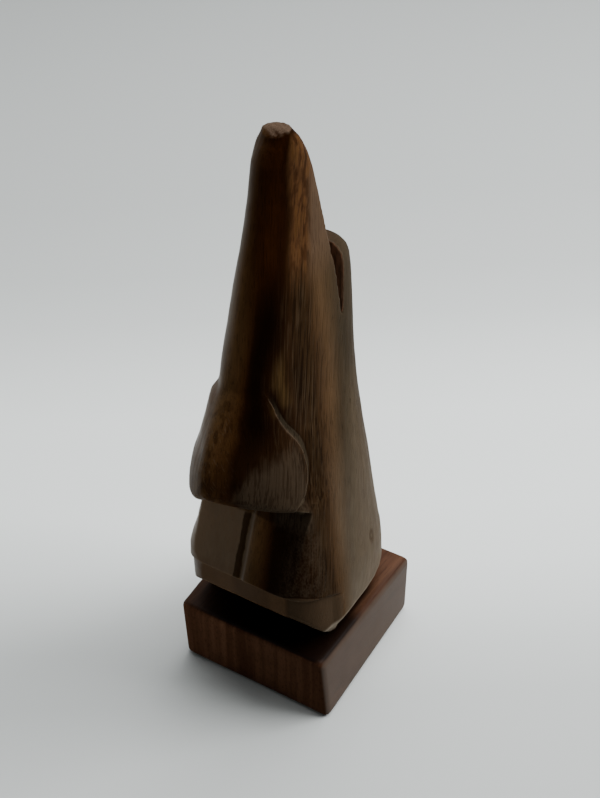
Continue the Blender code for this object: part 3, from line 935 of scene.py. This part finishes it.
@dataclass
class WoodenPart:
    """A wooden piece, meshed finely, shaped the way a hand would and dressed in its wood."""

    node: str
    name: str
    finish: CarvedRosewood | BaseRosewood
    cell: float  # edge length of the fine mesh
    softening: int  # rounds of smoothing
    edge_rounds: int = 2  # rounds of averaging for the mark of edges
    hollow_rounds: int = 24  # and more for the mark of hollows

    def build(self, frame: dict) -> list[Piece]:
        """Builds and dresses the piece.


        Returns:
            The piece made.
        """
        piece = self._refined(frame["nodes"][self.node])
        moved = self.shaped(*surface_of(piece.data))
        piece.data.vertices.foreach_set("co", moved.astype(np.float32).ravel())
        piece.data.update()
        self._mark_bends(piece.data)
        dress(piece, self.finish.build())
        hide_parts(self.node)
        return [piece]

    def shaped(self, points: np.ndarray, normals: np.ndarray) -> np.ndarray:
        """Moves the points, which are in metres, off the CAD shape."""
        raise NotImplementedError

    def _refined(self, node: Piece) -> Piece:
        """Copies the CAD node into a fine even mesh with worn edges.

        Args:
            node: the CAD node.

        Returns:
            The new piece.
        """
        rough = add_object(self.name + "_rough", node.data.copy())
        remesh = rough.modifiers.new("even_cells", "REMESH")
        remesh.mode = "VOXEL"
        remesh.voxel_size = self.cell
        remesh.use_smooth_shade = True
        smooth = rough.modifiers.new("worn_edges", "SMOOTH")
        smooth.factor = 0.5
        smooth.iterations = self.softening
        mesh = baked(rough)
        mesh.name = self.name
        bpy.data.objects.remove(rough)
        return add_object(self.name, mesh)

    def _mark_bends(self, mesh: bpy.types.Mesh) -> None:
        """Stores how sharply the surface bends, for pale edges that are partly painted highlights, and for
        painted light and shade in the hollows.

        Args:
            mesh: the fine even mesh.
        """
        points, normals = surface_of(mesh)
        count = len(points)
        ends = np.empty(len(mesh.edges) * 2, np.int32)
        mesh.edges.foreach_get("vertices", ends)
        start, stop = np.concatenate((ends.reshape(-1, 2), ends.reshape(-1, 2)[:, ::-1])).T
        links = np.maximum(np.bincount(start, minlength=count), 1)

        def around(values: np.ndarray) -> np.ndarray:
            """Averages the values of each point's neighbours."""
            return np.bincount(start, weights=values[stop], minlength=count) / links

        centres = np.stack([around(points[:, axis]) for axis in range(3)], axis=1)
        bend = ((points - centres) * normals).sum(axis=1) / self.cell**2 / 1000.0
        for name, rounds in ((EDGE_MARK, self.edge_rounds), (HOLLOW_MARK, self.hollow_rounds)):
            for _ in range(rounds):
                bend = around(bend)
            mark = mesh.attributes.new(name, "FLOAT", "POINT")
            mark.data.foreach_set("value", bend.astype(np.float32))


@dataclass
class NoseCarving(WoodenPart):
    """The carved nose with its lip, chin and the slot for the folded temples."""

    node: str = "nose_carving"
    name: str = "carved_nose"
    finish: CarvedRosewood = CarvedRosewood()
    cell: float = 0.00034
    softening: int = 6

    # rasped flanks, a rough and rounded top, faded band ends
    unevenness_mm: float = 0.035
    above_foot: Span = (23.0, 27.0)
    top_depth_mm: float = 9.0
    top_fall_mm: float = 1.5  # towards the front
    top_side_fall_mm: float = 0.35
    top_roughness_mm: float = 0.08
    foot_half_mm: float = 22.75
    band_depth_mm: float = 1.1
    band_sides: Span = (19.5, 20.8)
    band_ends: Zone = Zone(y=((-15.5, -11.7), (-10.7, -11.3)), z=((37.5, 36.0),))

    # where one side differs from the other
    left_lip: tuple[tuple[Span, ...], ...] = (((-6.0, -14.0),), ((-8.0, -18.0),))
    lip_levels: tuple[Span, ...] = ((22.5, 27.0), (66.0, 62.0))
    left_tip: Zone = Zone(x=((0.0, -7.0),), y=((-26.0, -33.0),), z=((90.0, 86.0), (60.0, 64.0)))
    left_flank: Zone = Zone(x=((-1.0, -6.5),), y=((1.0, -6.0),), z=((84.0, 96.0), (118.0, 106.0)))
    right_flank: Zone = Zone(x=((9.0, 18.0),), z=((24.0, 32.0), (112.0, 95.0)))
    right_top: Zone = Zone(x=((2.0, 8.0),), z=((132.0, 148.0), (167.0, 158.0)))
    right_foot: Zone = Zone(x=((7.0, 16.0),), z=((28.6, 22.4),))
    right_chin: Zone = Zone(x=(CHIN_LIFT_ACROSS,), z=((31.0, 36.0), (45.0, 39.5)))
    strays: tuple[Stray, ...] = (
        Stray(left_tip, (-0.6, 0.0, -2.8)),
        Stray(left_flank, (1.15, 0.0, 0.0)),
        Stray(Zone(*left_lip, lip_levels), (-1.0, 0.0, 0.0)),
        Stray(Zone(*left_lip, (*lip_levels, (48.0, 57.0))), (1.1, 0.0, 0.0)),
        Stray(Zone(*left_lip, (*lip_levels, (46.0, 41.0))), (-0.4, 0.0, 0.0)),
        Stray(right_top, (-0.45, 0.0, 0.0)),
        Stray(right_flank, (0.55, 0.0, 0.0)),
        Stray(right_foot, (-2.0, 0.0, 0.0)),
        Stray(right_chin, (0.0, 0.0, CHIN_LIFT_MM)),
    )

    def shaped(self, points: np.ndarray, normals: np.ndarray) -> np.ndarray:
        """Makes the carving look made by hand.

        Args:
            points: places in metres.
            normals: directions.

        Returns:
            The moved places.
        """
        spot = points.T * 1000.0
        x = spot[0]
        shift = normals * self._swell(spot)[:, None]
        shift += sum(stray.shift(spot) for stray in self.strays)
        shift[:, 2] -= self._top_fall(spot)
        for side in (1.0, -1.0):
            inner = np.clip(self.foot_half_mm - side * x, 0.0, self.band_depth_mm)
            inner *= slope(side * x, *self.band_sides)
            shift[:, 0] += side * inner * self.band_ends.share(spot, slope)
        return points + shift / 1000.0

    def _swell(self, spot: np.ndarray) -> np.ndarray:
        """Gives the height of the waves that a rasp leaves above the foot.

        Args:
            spot: the points in millimetres, by axis.

        Returns:
            The heights in millimetres.
        """
        x, y, z = spot
        swell = np.sin(0.55 * x + 0.21 * z + 1.0) * np.sin(0.31 * z - 0.4 * y + 2.0)
        swell += 0.7 * np.sin(0.9 * y + 0.5 * z) * np.sin(0.7 * x - 0.33 * z + 0.5)
        return swell * slope(z, *self.above_foot) * self.unevenness_mm

    def _top_fall(self, spot: np.ndarray) -> np.ndarray:
        """Gives how far the top face drops towards its front and sides.

        Args:
            spot: the points in millimetres, by axis.

        Returns:
            The drops in millimetres.
        """
        x, y, z = spot
        face = spot[:2, z > z.max() - 0.2]
        across, along = (spot[:2] - face.mean(axis=1)[:, None]) / np.ptp(face, axis=1)[:, None] * 2.0
        fall = slope(along, 0.0, -1.25) * self.top_fall_mm
        fall += slope(np.abs(across), 0.3, 1.3) * self.top_side_fall_mm
        fall += np.sin(2.9 * x + 1.3 * y) * np.sin(2.3 * y - 1.1 * x + 1.0) * self.top_roughness_mm
        return fall * slope(z, z.max() - self.top_depth_mm, z.max())


@dataclass
class BaseBlock(WoodenPart):
    """The square block that the carving stands on."""

    node: str = "base_block"
    name: str = "worn_base"
    finish: BaseRosewood = BaseRosewood()
    cell: float = 0.0005
    softening: int = 9

    # sawn out of square: its right side leans out, and one corner stands out
    height_mm: float = 22.2
    sawn_depth: Span = (-25.0, 25.0)
    lean_front_mm: Span = (2.3, 0.8)  # at the bottom and at the top
    lean_back_mm: Span = (0.6, 1.3)
    right_side: Span = (5.0, 22.0)
    left_side: Span = (-5.0, -22.0)
    left_back: Span = (-25.0, -12.0)
    corner: Stray = Stray(Zone(x=((20.0, -24.0),), y=((20.0, -25.0),)), (-1.1, -0.5, 0.0))

    def shaped(self, points: np.ndarray, normals: np.ndarray) -> np.ndarray:
        """Draws the block out of square.

        Args:
            points: places in metres.
            normals: directions, not used.

        Returns:
            The moved places.
        """
        spot = points.T * 1000.0
        x, y, z = spot
        front, rear = self.sawn_depth
        back = np.clip((y - front) / (rear - front), 0.0, 1.0)
        height = np.clip(z / self.height_mm, 0.0, 1.0)
        lean = (1.0 - back) * np.interp(height, (0.0, 1.0), self.lean_front_mm)
        lean += back * np.interp(height, (0.0, 1.0), self.lean_back_mm)
        shift = self.corner.shift(spot)
        shift[:, 0] += lean * slope(x, *self.right_side)
        shift[:, 0] -= slope(y, *self.left_back) * slope(x, *self.left_side) * height
        return points + shift / 1000.0


@dataclass
class BaseScrews:
    """The two slotted wood screws that hold the carving from below."""

    nodes: tuple[str, ...] = ("base_screw_left", "base_screw_right")
    finish: ScrewSteel = ScrewSteel()
    shank_radius: float = 0.00175
    root_radius: float = 0.00122
    pitch: float = 0.0013
    rim: float = 0.0004
    cone: float = 0.0022
    plain_shank: float = 0.01
    point: float = 0.005
    drive_width: float = 0.0011
    drive_depth: float = 0.0009
    head_chamfer: float = 0.07  # of the head's radius
    head_chamfer_height: float = 0.05
    point_crest: float = 0.18  # radius at the very point, as a share of the shank's
    point_root: float = 0.1
    thread_sharpness: float = 3.4
    rows_per_turn: int = 8
    segments: int = 40

    def build(self, frame: dict) -> list[Piece]:
        """Builds and dresses both screws.


        Returns:
            The screws.
        """
        steel = self.finish.build()
        screws = []
        for node in self.nodes:
            low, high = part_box(node)
            piece = self._screw(node.replace("base", "threaded"), low, high)
            dress(piece, steel)
            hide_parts(node)
            screws.append(piece)
        return screws

    def _profile(self, head: float, length: float) -> list[Triple]:
        """Lists the screw's rows from the head up.

        Args:
            head: the head's radius.
            length: the screw's length.

        Returns:
            The height, root radius and crest radius of each row.
        """
        shoulder = self.rim + self.cone
        face = head * (1.0 - self.head_chamfer)
        rows = [(0.0, 0.0, 0.0), (0.0, face, face), (head * self.head_chamfer_height, head, head)]
        rows += [(self.rim, head, head), (shoulder, self.shank_radius, self.shank_radius)]
        first = shoulder + self.plain_shank
        step = self.pitch / self.rows_per_turn
        for height in np.arange(first, length - step, step):
            thread = min((height - first) / self.pitch, 1.0)
            left = min((length - height) / self.point, 1.0)
            crest = self.shank_radius * (self.point_crest + (1.0 - self.point_crest) * left)
            root = self.shank_radius + (self.root_radius - self.shank_radius) * thread
            root *= self.point_root + (1.0 - self.point_root) * left
            rows.append((float(height), min(root, crest), crest))
        return rows + [(length, 0.0, 0.0)]

    def _screw(self, name: str, low: Vector, high: Vector) -> Piece:
        """Makes one screw in the box of its CAD node.

        Args:
            name: the piece's name.
            low: the box's lowest corner.
            high: the box's highest corner.

        Returns:
            The screw.
        """
        centre = Vector(((low.x + high.x) / 2, (low.y + high.y) / 2, low.z))
        shape = bmesh.new()
        rings = []
        for height, root, crest in self._profile((high.x - low.x) / 2, high.z - low.z):
            ring = []
            for step in range(self.segments if crest else 1):
                share = step / self.segments
                phase = (height / self.pitch - share) % 1.0
                ridge_highlight = max(0.0, 1.0 - abs(phase - 0.5) * self.thread_sharpness)
                radius = root + (crest - root) * ridge_highlight
                angle = 2.0 * math.pi * share
                spot = Vector((radius * math.cos(angle), radius * math.sin(angle), height))
                ring.append(shape.verts.new(centre + spot))
            rings.append(ring)
        for lower, upper in zip(rings, rings[1:]):
            for step in range(self.segments):
                after = (step + 1) % self.segments
                corners = [lower[step % len(lower)], lower[after % len(lower)]]
                corners += [upper[after % len(upper)], upper[step % len(upper)]]
                shape.faces.new(list(dict.fromkeys(corners)))
        bmesh.ops.recalc_face_normals(shape, faces=shape.faces[:])
        piece = add_mesh(name, shape)
        self._cut_drive(piece, centre, high.x - low.x)
        piece.data.shade_smooth()
        return piece

    def _cut_drive(self, piece: Piece, centre: Vector, width: float) -> None:
        """Cuts the screwdriver slot across the head.

        Args:
            piece: the screw.
            centre: the middle of the head's face.
            width: the head's diameter.
        """
        size = Matrix.Diagonal((self.drive_width, width * 1.2, self.drive_depth * 2.0, 1.0))
        shape = bmesh.new()
        bmesh.ops.create_cube(shape, size=1.0, matrix=Matrix.Translation(centre) @ size)
        cutter = add_mesh("drive", shape)
        cut = piece.modifiers.new("drive", "BOOLEAN")
        cut.operation = "DIFFERENCE"
        cut.solver = "EXACT"
        cut.object = cutter
        finished = baked(piece)
        piece.modifiers.clear()
        piece.data = finished
        bpy.data.objects.remove(cutter)


class Lamp(Enum):
    """The soft lamps: where each stands, its side length and its power in watts."""

    KEY = ((0.66, 0.46, 0.76), 0.6, 14.0)
    SKY = ((0.05, 0.3, 1.1), 0.8, 11.0)

    def add(self, aim: Vector) -> None:
        """Makes the lamp and points it.

        Args:
            aim: the point that it faces.
        """
        place, side, power = self.value
        data = bpy.data.lights.new(self.name.lower() + "_lamp", "AREA")
        data.size = side
        data.energy = power
        lamp = add_object(data.name, data)
        lamp.location = place
        lamp.visible_glossy = self is Lamp.SKY
        lamp.rotation_euler = (aim - Vector(place)).to_track_quat("-Z", "Y").to_euler()


@dataclass
class Studio:
    """A pale table with a painted pool of light, soft lamps, a plain surround and the camera."""

    camera_place: Triple = (0.14228, -0.20654, 0.27528)
    azimuth_deg: float = 33.86
    pitch_deg: float = 36.42
    roll_deg: float = -2.32
    lens_mm: float = 51.88
    table: Colour = (0.672, 0.705, 0.694)
    table_roughness: float = 0.55
    away: tuple[float, float] = (-0.557, 0.83)  # across the table, away from the nose's front
    tone_start_mm: float = -80.0
    tone_span_mm: float = 400.0
    # painted light: the table's brightness by distance across it, as a pool of light behind the object
    painted_light_levels: tuple[tuple[float, float], ...] = (
        (0.0, 0.79), (0.13, 0.85), (0.18, 0.97), (0.22, 1.11),
        (0.27, 1.25), (0.34, 1.31), (0.48, 1.29), (0.56, 1.17),
        (0.66, 0.98), (0.76, 0.88), (0.95, 0.82),
    )
    surround: Colour = (0.8, 0.82, 0.83)
    bright_level: float = 0.75
    dim_level: float = 0.04
    dim_side: Triple = (0.49, -0.72, 0.49)
    table_radius: float = 6.0

    def build(self, aim: Vector) -> None:
        """Sets up everything around the object.

        Args:
            aim: the middle of the object.
        """
        self._table()
        self._surround()
        self._camera()
        for lamp in Lamp:
            lamp.add(aim)

    def _table(self) -> None:
        """Lays the table top under the object, with painted light: brightest in a band behind it, dimmer
        nearer and farther.
        """
        shape = bmesh.new()
        bmesh.ops.create_circle(shape, cap_ends=True, segments=96, radius=self.table_radius)
        table = add_mesh("table_top", shape)
        graph = Graph(bpy.data.materials.new("table_paint"))
        x, y, _ = graph.place_mm()
        depth = (y * self.away[1] + x * self.away[0] - self.tone_start_mm) * (1.0 / self.tone_span_mm)
        stops = [(at, tuple(part * level for part in self.table)) for at, level in self.painted_light_levels]
        painted_light = graph.node("ShaderNodeValToRGB", {"stops": stops}, {0: depth})
        inputs = {"Base Color": painted_light, "Roughness": self.table_roughness}
        table.data.materials.append(graph.principled(inputs))
        table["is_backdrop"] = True

    def _surround(self) -> None:
        """Lights the scene weakly from all sides; rays from the camera see it pale."""
        world = bpy.data.worlds.new("surround")
        bpy.context.scene.world = world
        graph = Graph(world)
        ray = graph.node("ShaderNodeTexCoord", output="Generated")
        facing = graph.node(
            "ShaderNodeVectorMath", {"operation": "DOT_PRODUCT"}, {0: ray, 1: self.dim_side}, "Value"
        )
        dimmed = facing.rise(-0.15, 0.75)
        level = self.bright_level - dimmed * (self.bright_level - self.dim_level)
        seen = graph.node("ShaderNodeLightPath", output="Is Camera Ray")
        strength = level + seen * (1.0 - level)
        inputs = {"Color": self.surround, "Strength": strength}
        shader = graph.node("ShaderNodeBackground", {}, inputs)
        graph.node("ShaderNodeOutputWorld", {}, {"Surface": shader})

    def _camera(self) -> None:
        """Sets the camera, which looks down from the left front."""
        data = bpy.data.cameras.new("camera")
        data.lens = self.lens_mm
        data.clip_start = 0.01
        data.clip_end = 20.0
        camera = add_object("camera", data)
        turns = ((self.azimuth_deg, "Z"), (90.0 - self.pitch_deg, "X"), (self.roll_deg, "Z"))
        turn, tilt, roll = (Matrix.Rotation(math.radians(angle), 3, axis) for angle, axis in turns)
        camera.matrix_world = Matrix.Translation(self.camera_place) @ (turn @ tilt @ roll).to_4x4()
        bpy.context.scene.camera = camera


# ---- main


def main() -> None:
    """Builds the stand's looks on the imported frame, then its studio."""
    logging.basicConfig(level=logging.INFO, format="%(message)s")
    for old in list(bpy.data.objects):
        bpy.data.objects.remove(old)
    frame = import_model()
    cad_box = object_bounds()
    for assembly in (NoseCarving(), BaseBlock(), BaseScrews()):
        for piece in assembly.build(frame):
            LOG.info("%s: %d faces", piece.name, len(piece.data.polygons))
    aim = (cad_box[0] + cad_box[1]) / 2
    Studio().build(aim)


if __name__ == "__main__":
    main()
